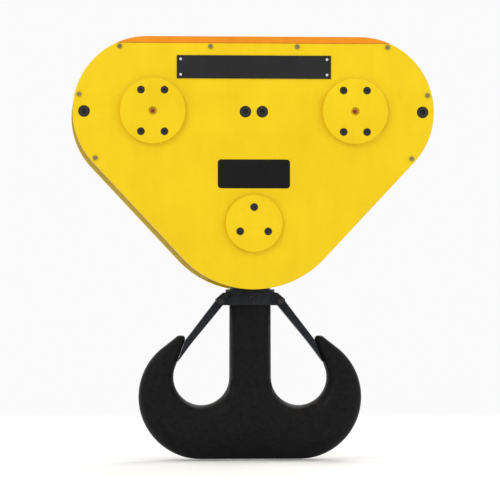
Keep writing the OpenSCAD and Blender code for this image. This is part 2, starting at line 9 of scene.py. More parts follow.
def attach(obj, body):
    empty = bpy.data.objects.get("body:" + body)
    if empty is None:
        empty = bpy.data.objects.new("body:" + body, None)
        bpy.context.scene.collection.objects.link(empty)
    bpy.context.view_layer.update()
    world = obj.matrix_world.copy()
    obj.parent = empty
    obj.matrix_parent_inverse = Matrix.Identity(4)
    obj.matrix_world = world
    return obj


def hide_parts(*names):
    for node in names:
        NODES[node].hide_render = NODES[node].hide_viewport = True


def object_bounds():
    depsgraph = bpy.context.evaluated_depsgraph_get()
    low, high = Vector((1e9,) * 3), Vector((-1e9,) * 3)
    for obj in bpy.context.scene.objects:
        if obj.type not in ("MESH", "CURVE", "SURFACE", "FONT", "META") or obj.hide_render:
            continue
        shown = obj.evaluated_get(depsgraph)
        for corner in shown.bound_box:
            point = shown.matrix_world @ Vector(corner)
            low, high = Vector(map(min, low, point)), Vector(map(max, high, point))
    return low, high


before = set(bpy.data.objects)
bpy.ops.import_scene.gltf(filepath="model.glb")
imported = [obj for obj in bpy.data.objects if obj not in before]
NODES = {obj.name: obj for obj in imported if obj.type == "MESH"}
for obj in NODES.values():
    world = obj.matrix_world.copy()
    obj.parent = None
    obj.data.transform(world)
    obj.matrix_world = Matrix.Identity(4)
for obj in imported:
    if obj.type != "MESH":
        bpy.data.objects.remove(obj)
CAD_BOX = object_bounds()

MM = 0.001

# Sizes shared with the part, in millimetres
OUTER_Y, INNER_Y = 250.0, 210.0
LOBE_X, LOBE_R, CHIN_Z, CHIN_R = 440.0, 310.0, -337.0, 401.0
PLATE_TOP, PLATE_Z = 282.0, 183          # top of the side plates, middle of the nameplate
AXLE_X = 420.0
CROSS_Z = -465.0
COVER_R, COVER_T = 136.0, 22.0
CAP_R, CAP_T, CAP_PLAY = 118.0, 18.0, 0.5
PIVOT = (124.0, -785.0)
TIE_X, TIE_Z = (-703.0, -35.0, 35.0, 703.0), -2.0
FLANK_TURN = math.acos((CHIN_R - LOBE_R) / math.hypot(LOBE_X, CHIN_Z))
FLANK = math.degrees(math.atan2(-CHIN_Z, LOBE_X) - FLANK_TURN)      # angle where lobe and flank meet
COVER_HOLES = [(sx * 48.7, sz * 86.0) for sx in (-1, 1) for sz in (-1, 1)]
CAP_HOLE_RING = 67
CAP_HOLES = [(CAP_HOLE_RING * math.cos(math.radians(a)), CAP_HOLE_RING * math.sin(math.radians(a)))
             for a in (90, 210, 330)]
HOLE_DEPTH, HOLE_R = 11, 16.0                # screw recesses in the covers and caps
SCREW_INSET, CROWN_SCREW, FLANK_SCREWS = 18, 66.5, (13.5, FLANK + 1)     # guard screws on the lobes


# ---- shader groups ----------------------------------------------------------------------------

class Tree:
    """A small helper for wiring one node tree."""

    def __init__(self, tree):
        self.t = tree

    def node(self, kind, **values):
        n = self.t.nodes.new(kind)
        for key, value in values.items():
            if hasattr(n, key) and key not in ("inputs", "outputs"):
                setattr(n, key, value)
            else:
                n.inputs[key.replace("_", " ")].default_value = value
        return n

    def link(self, a, b):
        self.t.links.new(a, b)
        return b

    def math(self, op, a, b=None, clamp=False):
        n = self.t.nodes.new("ShaderNodeMath")
        n.operation = op
        n.use_clamp = clamp
        for i, v in enumerate((a, b)):
            if v is None:
                continue
            if isinstance(v, (int, float)):
                n.inputs[i].default_value = v
            else:
                self.link(v, n.inputs[i])
        return n.outputs[0]

    def mix(self, fac, a, b):
        n = self.t.nodes.new("ShaderNodeMix")
        n.data_type = "RGBA"
        for sock, v in ((n.inputs[0], fac), (n.inputs[6], a), (n.inputs[7], b)):
            if isinstance(v, (int, float)):
                sock.default_value = v
            elif isinstance(v, tuple):
                sock.default_value = (*v[:3], 1.0)
            else:
                self.link(v, sock)
        return n.outputs[2]

    def ramp(self, value, low, high, to_low=0.0, to_high=1.0):
        n = self.t.nodes.new("ShaderNodeMapRange")
        n.interpolation_type = "SMOOTHSTEP"
        for i, v in enumerate((value, low, high, to_low, to_high)):
            if isinstance(v, (int, float)):
                n.inputs[i].default_value = v
            else:
                self.link(v, n.inputs[i])
        return n.outputs[0]

    def noise(self, vector, scale, detail=4.0, roughness=0.55):
        n = self.t.nodes.new("ShaderNodeTexNoise")
        n.inputs["Detail"].default_value = detail
        n.inputs["Roughness"].default_value = roughness
        self.link(vector, n.inputs["Vector"])
        if isinstance(scale, (int, float)):
            n.inputs["Scale"].default_value = scale
        else:
            self.link(scale, n.inputs["Scale"])
        return n.outputs["Fac"]

    def coords(self):
        return self.t.nodes.new("ShaderNodeTexCoord").outputs["Object"]

    def stretched(self, vector, x, y, z):
        n = self.t.nodes.new("ShaderNodeMapping")
        n.inputs["Scale"].default_value = (x, y, z)
        self.link(vector, n.inputs["Vector"])
        return n.outputs[0]


def group(name, inputs, outputs, build):
    """A shader node group with named number inputs and the outputs that build() returns."""
    g = bpy.data.node_groups.new(name, "ShaderNodeTree")
    for label, default in inputs:
        s = g.interface.new_socket(name=label, in_out="INPUT", socket_type="NodeSocketFloat")
        s.default_value = default
    for label in outputs:
        g.interface.new_socket(name=label, in_out="OUTPUT", socket_type="NodeSocketFloat")
    t = Tree(g)
    gin, gout = g.nodes.new("NodeGroupInput"), g.nodes.new("NodeGroupOutput")
    for label, value in build(t, gin.outputs).items():
        t.link(value, gout.inputs[label])
    return g


def build_sprayed(t, i):
    """Orange peel and slow drifts of a sprayed coat."""
    co = t.coords()
    peel = t.noise(co, i["Peel scale"], 2.0, 0.4)
    drift = t.noise(co, 3.5, 5.0)
    cloud = t.noise(t.stretched(co, 1.0, 1.0, 0.35), 16.0, 6.0, 0.6)
    mottle = t.math("ADD", t.math("MULTIPLY", drift, 0.6), t.math("MULTIPLY", cloud, 0.4))
    return {"Height": t.math("ADD", peel, t.math("MULTIPLY", drift, 1.5)),
            "Mottle": t.ramp(mottle, 0.3, 0.7)}


def build_chipped(t, i):
    """Where the coat is worn off along edges, from the edge attribute and a breaking-up noise."""
    edge = t.node("ShaderNodeAttribute", attribute_name="edge").outputs["Fac"]
    co = t.coords()
    grit = t.noise(co, i["Chip scale"], 6.0, 0.7)
    patch = t.noise(co, 9.0, 3.0)
    broken = t.math("MULTIPLY", t.ramp(grit, 0.5, 0.62), t.ramp(patch, 0.42, 0.66))
    specks = t.math("MULTIPLY", t.ramp(t.noise(co, 62.0, 2.0), 0.735, 0.76), t.ramp(patch, 0.5, 0.62))
    worn = t.math("MULTIPLY", t.math("MULTIPLY", edge, broken), i["Amount"])
    rub = t.math("MULTIPLY", t.math("MULTIPLY", edge, t.ramp(patch, 0.3, 0.7)), i["Amount"])
    return {"Bare": t.math("MAXIMUM", worn, t.math("MULTIPLY", specks, i["Specks"]), clamp=True),
            "Rub": rub}


def build_settled(t, i):
    """Dust on faces that look up, and streaks and grime running down the upright ones."""
    geo = t.t.nodes.new("ShaderNodeNewGeometry")
    sep = t.t.nodes.new("ShaderNodeSeparateXYZ")
    t.link(geo.outputs["Normal"], sep.inputs[0])
    co = t.coords()
    up = t.ramp(sep.outputs[2], 0.25, 0.95)
    soft = t.noise(co, 14.0, 6.0, 0.65)
    dust = t.math("MULTIPLY", up, t.ramp(soft, 0.25, 0.75, 0.35, 1.0))
    runs = t.noise(t.stretched(co, 16.0, 16.0, 1.1), 2.0, 5.0, 0.62)
    streak = t.math("MULTIPLY", t.ramp(runs, 0.55, 0.75), t.ramp(t.noise(co, 2.6, 2.0), 0.4, 0.62))
    return {"Dust": t.math("MULTIPLY", dust, i["Dust"], clamp=True),
            "Streak": t.math("MULTIPLY", streak, i["Streaks"], clamp=True)}


def build_forged(t, i):
    """Scale, hammer hollows and pits of a forging."""
    co = t.coords()
    hollow = t.noise(co, t.math("MULTIPLY", i["Scale"], 0.12), 3.0)
    scale = t.noise(co, i["Scale"], 8.0, 0.65)
    cells = t.t.nodes.new("ShaderNodeTexVoronoi")
    t.link(co, cells.inputs["Vector"])
    t.link(t.math("MULTIPLY", i["Scale"], 1.6), cells.inputs["Scale"])
    pits = t.ramp(cells.outputs["Distance"], 0.05, 0.28)
    fine = t.math("ADD", scale, t.math("MULTIPLY", pits, 0.35))
    return {"Height": t.math("ADD", t.math("MULTIPLY", hollow, 2.0), fine), "Tone": t.ramp(scale, 0.3, 0.7)}


def build_turned(t, i):
    """Fine tool marks, grain and oil stains of a machined face."""
    co = t.coords()
    fine = t.noise(t.stretched(co, 0.08, 1.0, 0.08), i["Lines"], 3.0, 0.6)
    grain = t.noise(co, 55.0, 5.0)
    stain = t.noise(co, 8.0, 4.0)
    return {"Height": t.math("ADD", fine, t.math("MULTIPLY", grain, 0.3)),
            "Tone": t.math("ADD", t.math("MULTIPLY", fine, 0.5), t.math("MULTIPLY", grain, 0.5)),
            "Stain": t.ramp(stain, 0.5, 0.72)}


SPRAYED = group("sprayed_coat", [("Peel scale", 190.0)], ["Height", "Mottle"], build_sprayed)
CHIPPED = group("chipped_edges", [("Chip scale", 70.0), ("Amount", 1.0), ("Specks", 0.0)],
                ["Bare", "Rub"], build_chipped)
SETTLED = group("settled_dirt", [("Dust", 0.4), ("Streaks", 0.3)], ["Dust", "Streak"], build_settled)
FORGED = group("forged_skin", [("Scale", 60.0)], ["Height", "Tone"], build_forged)
TURNED = group("turned_marks", [("Lines", 420.0)], ["Height", "Tone", "Stain"], build_turned)


def material(name, **principled):
    """A new material: its tree helper and its Principled shader with constant sockets set."""
    m = bpy.data.materials.new(name)
    m.use_nodes = True
    t = Tree(m.node_tree)
    p = m.node_tree.nodes["Principled BSDF"]
    for key, value in principled.items():
        p.inputs[key.replace("_", " ")].default_value = value
    return m, t, p


def effect(t, tree, **values):
    """One of the shared effects, placed in a material with its own values."""
    n = t.t.nodes.new("ShaderNodeGroup")
    n.node_tree = tree
    for key, value in values.items():
        n.inputs[key.replace("_", " ")].default_value = value
    return n.outputs


def bump(t, p, height, strength, distance):
    n = t.t.nodes.new("ShaderNodeBump")
    n.inputs["Strength"].default_value = strength
    n.inputs["Distance"].default_value = distance
    t.link(height, n.inputs["Height"])
    t.link(n.outputs[0], p.inputs["Normal"])


PRIMER, BARE_STEEL, DUST_TINT = (0.12, 0.045, 0.02), (0.22, 0.20, 0.18), (0.42, 0.38, 0.31)


def enamel(name, light, deep, chips=1.0, specks=0.0, dust=0.35, streaks=0.3, rough=0.33, coat=0.08,
           gloss=0.3):
    """Sprayed enamel: mottled colour, rubbed and chipped edges, dust and runs of grime."""
    m, t, p = material(name, Specular_IOR_Level=gloss, Coat_Roughness=0.2)
    coat_tex = effect(t, SPRAYED)
    chip = effect(t, CHIPPED, Amount=chips, Specks=specks)
    dirt = effect(t, SETTLED, Dust=dust, Streaks=streaks)
    colour = t.mix(coat_tex["Mottle"], deep, light)
    worn = tuple(c * 0.55 + 0.02 for c in deep)
    colour = t.mix(t.math("MULTIPLY", chip["Rub"], 0.5), colour, worn)
    colour = t.mix(t.math("MULTIPLY", dirt["Streak"], 0.4), colour, tuple(c * 0.45 for c in deep))
    colour = t.mix(t.math("MULTIPLY", dirt["Dust"], 0.55), colour, DUST_TINT)
    colour = t.mix(chip["Bare"], colour, t.mix(coat_tex["Mottle"], PRIMER, BARE_STEEL))
    t.link(colour, p.inputs["Base Color"])
    dull = t.math("ADD", t.math("MULTIPLY", dirt["Dust"], 0.4), t.math("MULTIPLY", chip["Bare"], 0.25))
    base = t.math("ADD", t.math("MULTIPLY", coat_tex["Mottle"], 0.1), rough)
    t.link(t.math("ADD", base, dull, clamp=True), p.inputs["Roughness"])
    if coat:
        clean = t.math("SUBTRACT", 1.0, t.math("MAXIMUM", chip["Bare"], dirt["Dust"]), clamp=True)
        t.link(t.math("MULTIPLY", clean, coat), p.inputs["Coat Weight"])
    if chips or specks:
        t.link(t.math("MULTIPLY", chip["Bare"], 0.6), p.inputs["Metallic"])
    peel = t.math("MULTIPLY", coat_tex["Height"], 0.35)
    height = t.math("SUBTRACT", peel, t.math("MULTIPLY", chip["Bare"], 1.4))
    bump(t, p, height, 0.35, 0.0009)
    return m


def forging(name, tone, worn, rough=0.42):
    """Black-painted forging: scale and hollows under the paint, rubbed edges and dust."""
    m, t, p = material(name, Specular_IOR_Level=0.09)
    skin = effect(t, FORGED, Scale=60.0)
    chip = effect(t, CHIPPED, Amount=0.6, Specks=0.25, Chip_scale=55.0)
    dirt = effect(t, SETTLED, Dust=0.3, Streaks=0.35)
    colour = t.mix(skin["Tone"], tone, tuple(c * 1.9 + 0.002 for c in tone))
    colour = t.mix(t.math("MULTIPLY", dirt["Streak"], 0.25), colour, (0.035, 0.024, 0.018))
    colour = t.mix(t.math("MULTIPLY", dirt["Dust"], 0.07), colour, DUST_TINT)
    colour = t.mix(chip["Bare"], colour, worn)
    t.link(colour, p.inputs["Base Color"])
    t.link(t.math("ADD", t.math("MULTIPLY", skin["Tone"], 0.16), rough), p.inputs["Roughness"])
    t.link(t.math("MULTIPLY", chip["Bare"], 0.7), p.inputs["Metallic"])
    bump(t, p, skin["Height"], 0.4, 0.0016)
    return m


def metal(name, light, dark, rough, metallic=1.0, lines=420.0, stain_colour=(0.06, 0.045, 0.03),
          stains=0.35, relief=0.3):
    """Machined metal: tool marks, small differences of tone, oil stains and rubbed edges."""
    m, t, p = material(name)
    marks = effect(t, TURNED, Lines=lines)
    dirt = effect(t, SETTLED, Dust=0.3, Streaks=0.3)
    chip = effect(t, CHIPPED, Amount=1.0)
    colour = t.mix(marks["Tone"], dark, light)
    rubbed = tuple(min(1.0, c * 1.5 + 0.03) for c in light)
    colour = t.mix(t.math("MULTIPLY", chip["Rub"], 0.5), colour, rubbed)
    stain = t.math("MULTIPLY", marks["Stain"], stains)
    colour = t.mix(stain, colour, stain_colour)
    colour = t.mix(t.math("MULTIPLY", dirt["Dust"], 0.4), colour, DUST_TINT)
    t.link(colour, p.inputs["Base Color"])
    dull = t.math("ADD", rough - 0.1, t.math("MULTIPLY", stain, 0.3))
    t.link(t.math("ADD", t.math("MULTIPLY", marks["Tone"], 0.2), dull, clamp=True), p.inputs["Roughness"])
    cover = t.math("SUBTRACT", 1.0, t.math("MULTIPLY", dirt["Dust"], 0.6), clamp=True)
    t.link(t.math("MULTIPLY", cover, metallic), p.inputs["Metallic"])
    bump(t, p, marks["Height"], relief, 0.0004)
    return m


MATS = {
    "yellow_paint": enamel("yellow_enamel", (0.81, 0.565, 0.003), (0.75, 0.5, 0.002), chips=0.55, specks=0.10,
                           dust=0.2, streaks=0.22, coat=0.04, gloss=0.16),
    # Painted shade: guard_paint is the yellow enamel darkened to olive for flanks that face away from the light
    "guard_paint": enamel("yellow_enamel_painted_shade", (0.44, 0.295, 0.004), (0.36, 0.235, 0.003), chips=0.6,
                          specks=0.1, dust=0.12, streaks=0.35, rough=0.6, coat=0.0, gloss=0.03),
    # Painted warm light: the amber stands in for the orange tone that the lit top edge shows
    "amber_paint": enamel("amber_enamel_painted_top_light", (0.80, 0.27, 0.010), (0.72, 0.22, 0.008), chips=0.7, specks=0.1,
                          dust=0.2, streaks=0.2, coat=0.03, gloss=0.14),
    "hook_black": forging("hook_forging", (0.0032, 0.0032, 0.0036), (0.06, 0.056, 0.052)),
    "latch_black": forging("latch_steel", (0.011, 0.012, 0.015), (0.16, 0.155, 0.15), rough=0.36),
    "olive_zinc": metal("olive_zinc", (0.36, 0.31, 0.12), (0.22, 0.19, 0.07), 0.42, metallic=0.85),
    "black_oxide": metal("black_oxide", (0.035, 0.034, 0.036), (0.014, 0.014, 0.016), 0.42, metallic=0.6,
                         stain_colour=(0.03, 0.018, 0.01)),
    "machined_steel": metal("machined_steel", (0.60, 0.60, 0.61), (0.42, 0.42, 0.43), 0.32),
    "bearing_steel": metal("ground_steel", (0.70, 0.71, 0.73), (0.52, 0.53, 0.55), 0.22, lines=700.0,
                           stains=0.15),
    "sheave_steel": metal("sheave_casting", (0.24, 0.24, 0.25), (0.12, 0.12, 0.125), 0.5, metallic=0.75,
                          lines=240.0, stains=0.6, relief=0.6),
    "forged_grey": metal("crosshead_primer", (0.22, 0.225, 0.23), (0.13, 0.13, 0.135), 0.55, metallic=0.2,
                         lines=120.0, relief=0.6),
    "bronze": metal("bearing_bronze", (0.66, 0.44, 0.18), (0.44, 0.27, 0.10), 0.34),
    "red_cap": enamel("dark_red_cap", (0.27, 0.022, 0.016), (0.18, 0.014, 0.010), chips=0.0, dust=0.2,
                      rough=0.3),
    "black_enamel": enamel("nameplate_enamel", (0.010, 0.010, 0.011), (0.006, 0.006, 0.007), chips=0.5,
                           dust=0.3, streaks=0.5, rough=0.3, gloss=0.22),
    "rivet_steel": metal("rivet_aluminium", (0.66, 0.66, 0.67), (0.5, 0.5, 0.51), 0.35),
    "spring_steel": metal("spring_wire", (0.40, 0.40, 0.41), (0.2, 0.2, 0.21), 0.36),
    "label_black": enamel("label_film", (0.007, 0.007, 0.007), (0.004, 0.004, 0.004), chips=0.0, dust=0.1,
                         streaks=0.15, rough=0.5, coat=0.0, gloss=0.12),
}


# ---- mesh helpers -----------------------------------------------------------------------------

def put(name, mesh, slot_name, body, nodes=(), look=None):
    """Makes a finished mesh an object with the material of its slot or look, parents it to its body and hides
    the nodes it stands for.
    """
    o = bpy.data.objects.new(name, mesh)
    bpy.context.scene.collection.objects.link(o)
    mesh.materials.clear()
    mesh.materials.append(MATS[look or slot_name])
    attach(o, body)
    if nodes:
        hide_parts(*nodes)
    return o


def finished(bm, sharp=35.0):
    """A mesh from bm, merged, smooth but for edges sharper than sharp degrees."""
    bmesh.ops.remove_doubles(bm, verts=bm.verts, dist=2e-6)
    me = bpy.data.meshes.new("piece")
    for f in bm.faces:
        f.smooth = True
    bm.to_mesh(me)
    bm.free()
    me.set_sharp_from_angle(angle=math.radians(sharp))
    return me


def mark_edges(me, test):
    """Stores the edge attribute: 1 on the faces that test() picks, 0 on the rest."""
    layer = me.attributes.new("edge", "FLOAT", "FACE")
    layer.data.foreach_set("value", [1.0 if test(p) else 0.0 for p in me.polygons])


def is_bevel(p):
    """True for the rounded faces of a slab that lies in the X-Z plane."""
    return 0.12 < abs(p.normal.y) < 0.96


def arc(cx, cz, r, a0, a1, n):
    return [(cx + r * math.cos(math.radians(a0 + (a1 - a0) * i / n)),
             cz + r * math.sin(math.radians(a0 + (a1 - a0) * i / n))) for i in range(n + 1)]


def circle(cx, cz, r, n=48):
    return arc(cx, cz, r, 0, 360, n)[:-1]


def slab(loops, y0, y1, bevel):
    """A slab in the X-Z plane from depth y0 to y1 mm with rounded edges: an outline and its holes."""
    cu = bpy.data.curves.new("outline", "CURVE")
    cu.dimensions = "2D"
    cu.fill_mode = "BOTH"
    cu.extrude = ((y1 - y0) / 2 - bevel) * MM
    cu.bevel_depth = bevel * MM
    cu.bevel_resolution = 2
    cu.offset = -bevel * MM
    for loop in loops:
        sp = cu.splines.new("POLY")
        sp.points.add(len(loop) - 1)
        for pt, (x, z) in zip(sp.points, loop):
            pt.co = (x * MM, z * MM, 0, 1)
        sp.use_cyclic_u = True
    o = bpy.data.objects.new("outline", cu)
    bpy.context.scene.collection.objects.link(o)
    me = bpy.data.meshes.new_from_object(o.evaluated_get(bpy.context.evaluated_depsgraph_get()))
    bpy.data.objects.remove(o)
    bpy.data.curves.remove(cu)
    me.transform(Matrix.Translation((0, (y0 + y1) / 2 * MM, 0)) @ Matrix.Rotation(math.pi / 2, 4, "X"))
    bm = bmesh.new()
    bm.from_mesh(me)
    bmesh.ops.remove_doubles(bm, verts=bm.verts, dist=2e-6)
    bmesh.ops.recalc_face_normals(bm, faces=bm.faces)
    me = finished(bm)
    mark_edges(me, is_bevel)
    return me


def joined(meshes):
    """Several meshes as one, keeping the edge attribute."""
    bm = bmesh.new()
    for me in meshes:
        bm.from_mesh(me)
    out = bpy.data.meshes.new("joined")
    bm.to_mesh(out)
    bm.free()
    return out


def lathe(profile, n):
    """A turned piece: profile points (radius, height) in mm spun about Z in n steps."""
    bm = bmesh.new()
    rings = []
    for r, h in profile:
        if r < 1e-6:
            rings.append([bm.verts.new((0, 0, h * MM))])
        else:
            turns = [2 * math.pi * k / n for k in range(n)]
            rings.append([bm.verts.new((r * MM * math.cos(a), r * MM * math.sin(a), h * MM)) for a in turns])
    for a, b in zip(rings, rings[1:]):
        for k in range(n):
            j = (k + 1) % n
            face = [a[k % len(a)], a[j % len(a)], b[j % len(b)], b[k % len(b)]]
            face = [v for i, v in enumerate(face) if v not in face[:i]]
            if len(face) > 2:
                bm.faces.new(face)
    bmesh.ops.recalc_face_normals(bm, faces=bm.faces)
    return finished(bm)


def dressed(node, width=1.0, sharp=35.0):
    """A copy of a CAD node's mesh, merged, with its sharp edges rounded by width mm."""
    bm = bmesh.new()
    bm.from_mesh(NODES[node].data)
    bmesh.ops.remove_doubles(bm, verts=bm.verts, dist=5e-6)
    bmesh.ops.dissolve_degenerate(bm, dist=2e-6, edges=bm.edges)
    me = finished(bm, sharp)
    if width:
        o = bpy.data.objects.new("dressing", me)
        bpy.context.scene.collection.objects.link(o)
        b = o.modifiers.new("round", "BEVEL")
        b.width = width * MM
        b.segments = 2
        b.limit_method = "ANGLE"
        b.angle_limit = math.radians(40)
        b.use_clamp_overlap = True
        me = bpy.data.meshes.new_from_object(o.evaluated_get(bpy.context.evaluated_depsgraph_get()))
        bpy.data.objects.remove(o)
        me.set_sharp_from_angle(angle=math.radians(sharp))
    return me


TO_FRONT = Matrix.Rotation(math.pi / 2, 4, "X")      # a piece's +Z faces the front, -Y
TO_REAR = Matrix.Rotation(-math.pi / 2, 4, "X")


# ---- casing -----------------------------------------------------------------------------------

def outline(trim, steps=40):
    """The side plates' outline as points, cut level at height trim."""
    right = arc(LOBE_X, 0, LOBE_R, math.degrees(math.asin(trim / LOBE_R)), FLANK, steps)
    chin = arc(0, CHIN_Z, CHIN_R, FLANK, -180 - FLANK, steps * 2)
    return right + chin[1:-1] + [(-x, z) for x, z in reversed(right)]


def side_plates():
    axle_bore, trunnion_bore, tie_recess = 70.5, 95.5, 24.0
    holes = [circle(sx * AXLE_X, 0, axle_bore) for sx in (-1, 1)] + [circle(0, CROSS_Z, trunnion_bore)]
    holes += [circle(x, TIE_Z, tie_recess, 40) for x in TIE_X]
    for name, y0, y1 in (("front_side_plate", -OUTER_Y, -INNER_Y), ("rear_side_plate", INNER_Y, OUTER_Y)):
        me = slab([outline(PLATE_TOP)] + holes, y0, y1, 2.2)
        put(name + "_painted", me, "yellow_paint", "block", [name])


def cut_boxes(me, boxes):
    """Cuts boxes ((x0, y0, z0), (x1, y1, z1)) in mm out of a mesh."""
    bm = bmesh.new()
    for a, b in boxes:
        size = [(q - p) * MM for p, q in zip(a, b)]
        mid = [(q + p) / 2 * MM for p, q in zip(a, b)]
        bmesh.ops.create_cube(bm, size=1.0, matrix=Matrix.Translation(mid) @ Matrix.Diagonal((*size, 1)))
    tool_mesh = bpy.data.meshes.new("tool")
    bm.to_mesh(tool_mesh)
    bm.free()
    o, tool = bpy.data.objects.new("body", me), bpy.data.objects.new("tool", tool_mesh)
    for x in (o, tool):
        bpy.context.scene.collection.objects.link(x)
    cut = o.modifiers.new("cut", "BOOLEAN")
    cut.operation, cut.solver, cut.object = "DIFFERENCE", "EXACT", tool
    out = bpy.data.meshes.new_from_object(o.evaluated_get(bpy.context.evaluated_depsgraph_get()))
    bpy.data.objects.remove(o)
    bpy.data.objects.remove(tool)
    return out


def top_guard():
    a = math.degrees(math.asin(PLATE_TOP / LOBE_R))
    right = arc(LOBE_X, 0, LOBE_R, 90, a, 16)
    me = slab([right + [(-x, z) for x, z in reversed(right)]], -OUTER_Y, OUTER_Y, 2.0)
    slot_x, half_w, half_l = 185, 25, 165
    slots = [((sx * slot_x - half_w, -half_l, 270), (sx * slot_x + half_w, half_l, 330)) for sx in (-1, 1)]
    me = cut_boxes(me, slots)
    lug_low, lug_high = 253, 283
    lugs = []
    for sx in (-1, 1):
        for x0, x1 in ((164, 196), (541, 568)):
            for y0, y1 in ((-209.8, -175), (175, 209.8)):
                lo, hi = sorted((sx * x0, sx * x1))
                shape = [(lo, lug_low), (hi, lug_low), (hi, lug_high), (lo, lug_high)]
                lugs.append(slab([shape], y0, y1, 1.5))
    me = joined([me] + lugs)
    me.set_sharp_from_angle(angle=math.radians(35))
    # Painted warm light: the top guard's amber stands in for the orange tone that the top edge catches from the
    # light
    put("top_guard_painted", me, "amber_paint", "block", ["top_guard"])


def flank_guard(side):
    """One bent guard between the plates, from start degrees on the lobe to half the gap under the chin."""
    t, start, gap, boss_r = 12.0, 22.0, 180.0, 16.0
    outer = arc(LOBE_X, 0, LOBE_R, start, FLANK, 40)
    end = math.degrees(math.acos(gap / CHIN_R))
    outer += arc(0, CHIN_Z, CHIN_R, FLANK, -end, 24)[1:]
    end_in = math.degrees(math.acos(gap / (CHIN_R - t)))
    inner = arc(0, CHIN_Z, CHIN_R - t, -end_in, FLANK, 24)
    inner += arc(LOBE_X, 0, LOBE_R - t, FLANK, start, 40)[1:]
    reach = INNER_Y - 0.2
    meshes = [slab([[(side * x, z) for x, z in outer + inner]], -reach, reach, 1.2)]
    for angle in FLANK_SCREWS:
        x, z = arc(LOBE_X, 0, LOBE_R - SCREW_INSET, angle, angle, 1)[0]
        meshes.append(slab([circle(side * x, z, boss_r, 32)], -reach, reach, 1.2))
    name = ("right" if side > 0 else "left") + "_flank_guard"
    # Painted shade: the guard takes the darker olive copy of the yellow enamel, which stands in for the shade
    # on the flanks
    put(name + "_painted", joined(meshes), "guard_paint", "block", [name])


def weld_path(points, ys, width):
    """Fillet weld beads along points (x, z) in mm at each of the depths ys."""
    me = bpy.data.meshes.new("seam")
    verts, edges = [], []
    for y in ys:
        first = len(verts)
        verts += [(x * MM, y * MM, z * MM) for x, z in points]
        edges += [(i, i + 1) for i in range(first, len(verts) - 1)]
    me.from_pydata(verts, edges, [])
    # Painted shade: the beads take the guards' darker olive copy of the yellow
    return grown(me, WELD_TREE, {"Bead width": width * MM, "Ripple pitch": 6.0 * MM,
                                 "Finish": MATS["guard_paint"]})


# ---- geometry node trees ----------------------------------------------------------------------

def geo_tree(name, inputs):
    g = bpy.data.node_groups.new(name, "GeometryNodeTree")
    g.interface.new_socket(name="Geometry", in_out="INPUT", socket_type="NodeSocketGeometry")
    for label, kind in inputs:
        g.interface.new_socket(name=label, in_out="INPUT", socket_type=kind)
    g.interface.new_socket(name="Geometry", in_out="OUTPUT", socket_type="NodeSocketGeometry")
    gin, gout = g.nodes.new("NodeGroupInput"), g.nodes.new("NodeGroupOutput")
    return g, gin.outputs, gout.inputs[0]


def close_tree(g, geometry, finish, out):
    """Every tree ends in Realize Instances and Set Material."""
    real = g.nodes.new("GeometryNodeRealizeInstances")
    setm = g.nodes.new("GeometryNodeSetMaterial")
    g.links.new(geometry, real.inputs[0])
    g.links.new(real.outputs[0], setm.inputs["Geometry"])
    g.links.new(finish, setm.inputs["Material"])
    g.links.new(setm.outputs[0], out)


def fastener_tree():
    """Places one head on each point, turned by its facing attribute and then at random on its axis."""
    g, i, out = geo_tree("placed_fasteners", [("Head", "NodeSocketObject"), ("Head size", "NodeSocketFloat"),
                                             ("Turn seed", "NodeSocketInt"), ("Finish", "NodeSocketMaterial")])
    info = g.nodes.new("GeometryNodeObjectInfo")
    g.links.new(i["Head"], info.inputs["Object"])
    facing = g.nodes.new("GeometryNodeInputNamedAttribute")
    facing.data_type = "FLOAT_VECTOR"
    facing.inputs["Name"].default_value = "facing"
    turn = g.nodes.new("FunctionNodeRandomValue")
    turn.data_type = "FLOAT"
    turn.inputs[2].default_value = 0.0
    turn.inputs[3].default_value = math.tau
    g.links.new(i["Turn seed"], turn.inputs["Seed"])
    vec = g.nodes.new("ShaderNodeCombineXYZ")
    g.links.new(turn.outputs[1], vec.inputs[2])
    place = g.nodes.new("GeometryNodeInstanceOnPoints")
    g.links.new(i["Geometry"], place.inputs["Points"])
    g.links.new(info.outputs["Geometry"], place.inputs["Instance"])
    g.links.new(facing.outputs["Attribute"], place.inputs["Rotation"])
    g.links.new(i["Head size"], place.inputs["Scale"])
    spin = g.nodes.new("GeometryNodeRotateInstances")
    g.links.new(place.outputs[0], spin.inputs["Instances"])
    g.links.new(vec.outputs[0], spin.inputs["Rotation"])
    close_tree(g, spin.outputs[0], i["Finish"], out)
    return g


def weld_tree():
    """A rippled bead along each edge path: overlapping flattened beads, one at each step."""
    g, i, out = geo_tree("weld_beads", [("Bead width", "NodeSocketFloat"), ("Ripple pitch", "NodeSocketFloat"),
                                       ("Finish", "NodeSocketMaterial")])
    curve = g.nodes.new("GeometryNodeMeshToCurve")
    g.links.new(i["Geometry"], curve.inputs[0])
    pts = g.nodes.new("GeometryNodeCurveToPoints")
    pts.mode = "LENGTH"
    g.links.new(curve.outputs[0], pts.inputs["Curve"])
    g.links.new(i["Ripple pitch"], pts.inputs["Length"])
    bead = g.nodes.new("GeometryNodeMeshUVSphere")
    bead.inputs["Segments"].default_value = 8
    bead.inputs["Rings"].default_value = 5
    g.links.new(i["Bead width"], bead.inputs["Radius"])
    place = g.nodes.new("GeometryNodeInstanceOnPoints")
    g.links.new(pts.outputs["Points"], place.inputs["Points"])
    g.links.new(bead.outputs["Mesh"], place.inputs["Instance"])
    g.links.new(pts.outputs["Rotation"], place.inputs["Rotation"])
    vary = g.nodes.new("FunctionNodeRandomValue")
    vary.data_type = "FLOAT_VECTOR"
    vary.inputs[0].default_value = (0.85, 0.85, 0.7)
    vary.inputs[1].default_value = (1.0, 1.0, 0.95)
    vary.inputs["Seed"].default_value = 7
    g.links.new(vary.outputs[0], place.inputs["Scale"])
    close_tree(g, place.outputs[0], i["Finish"], out)
    return g


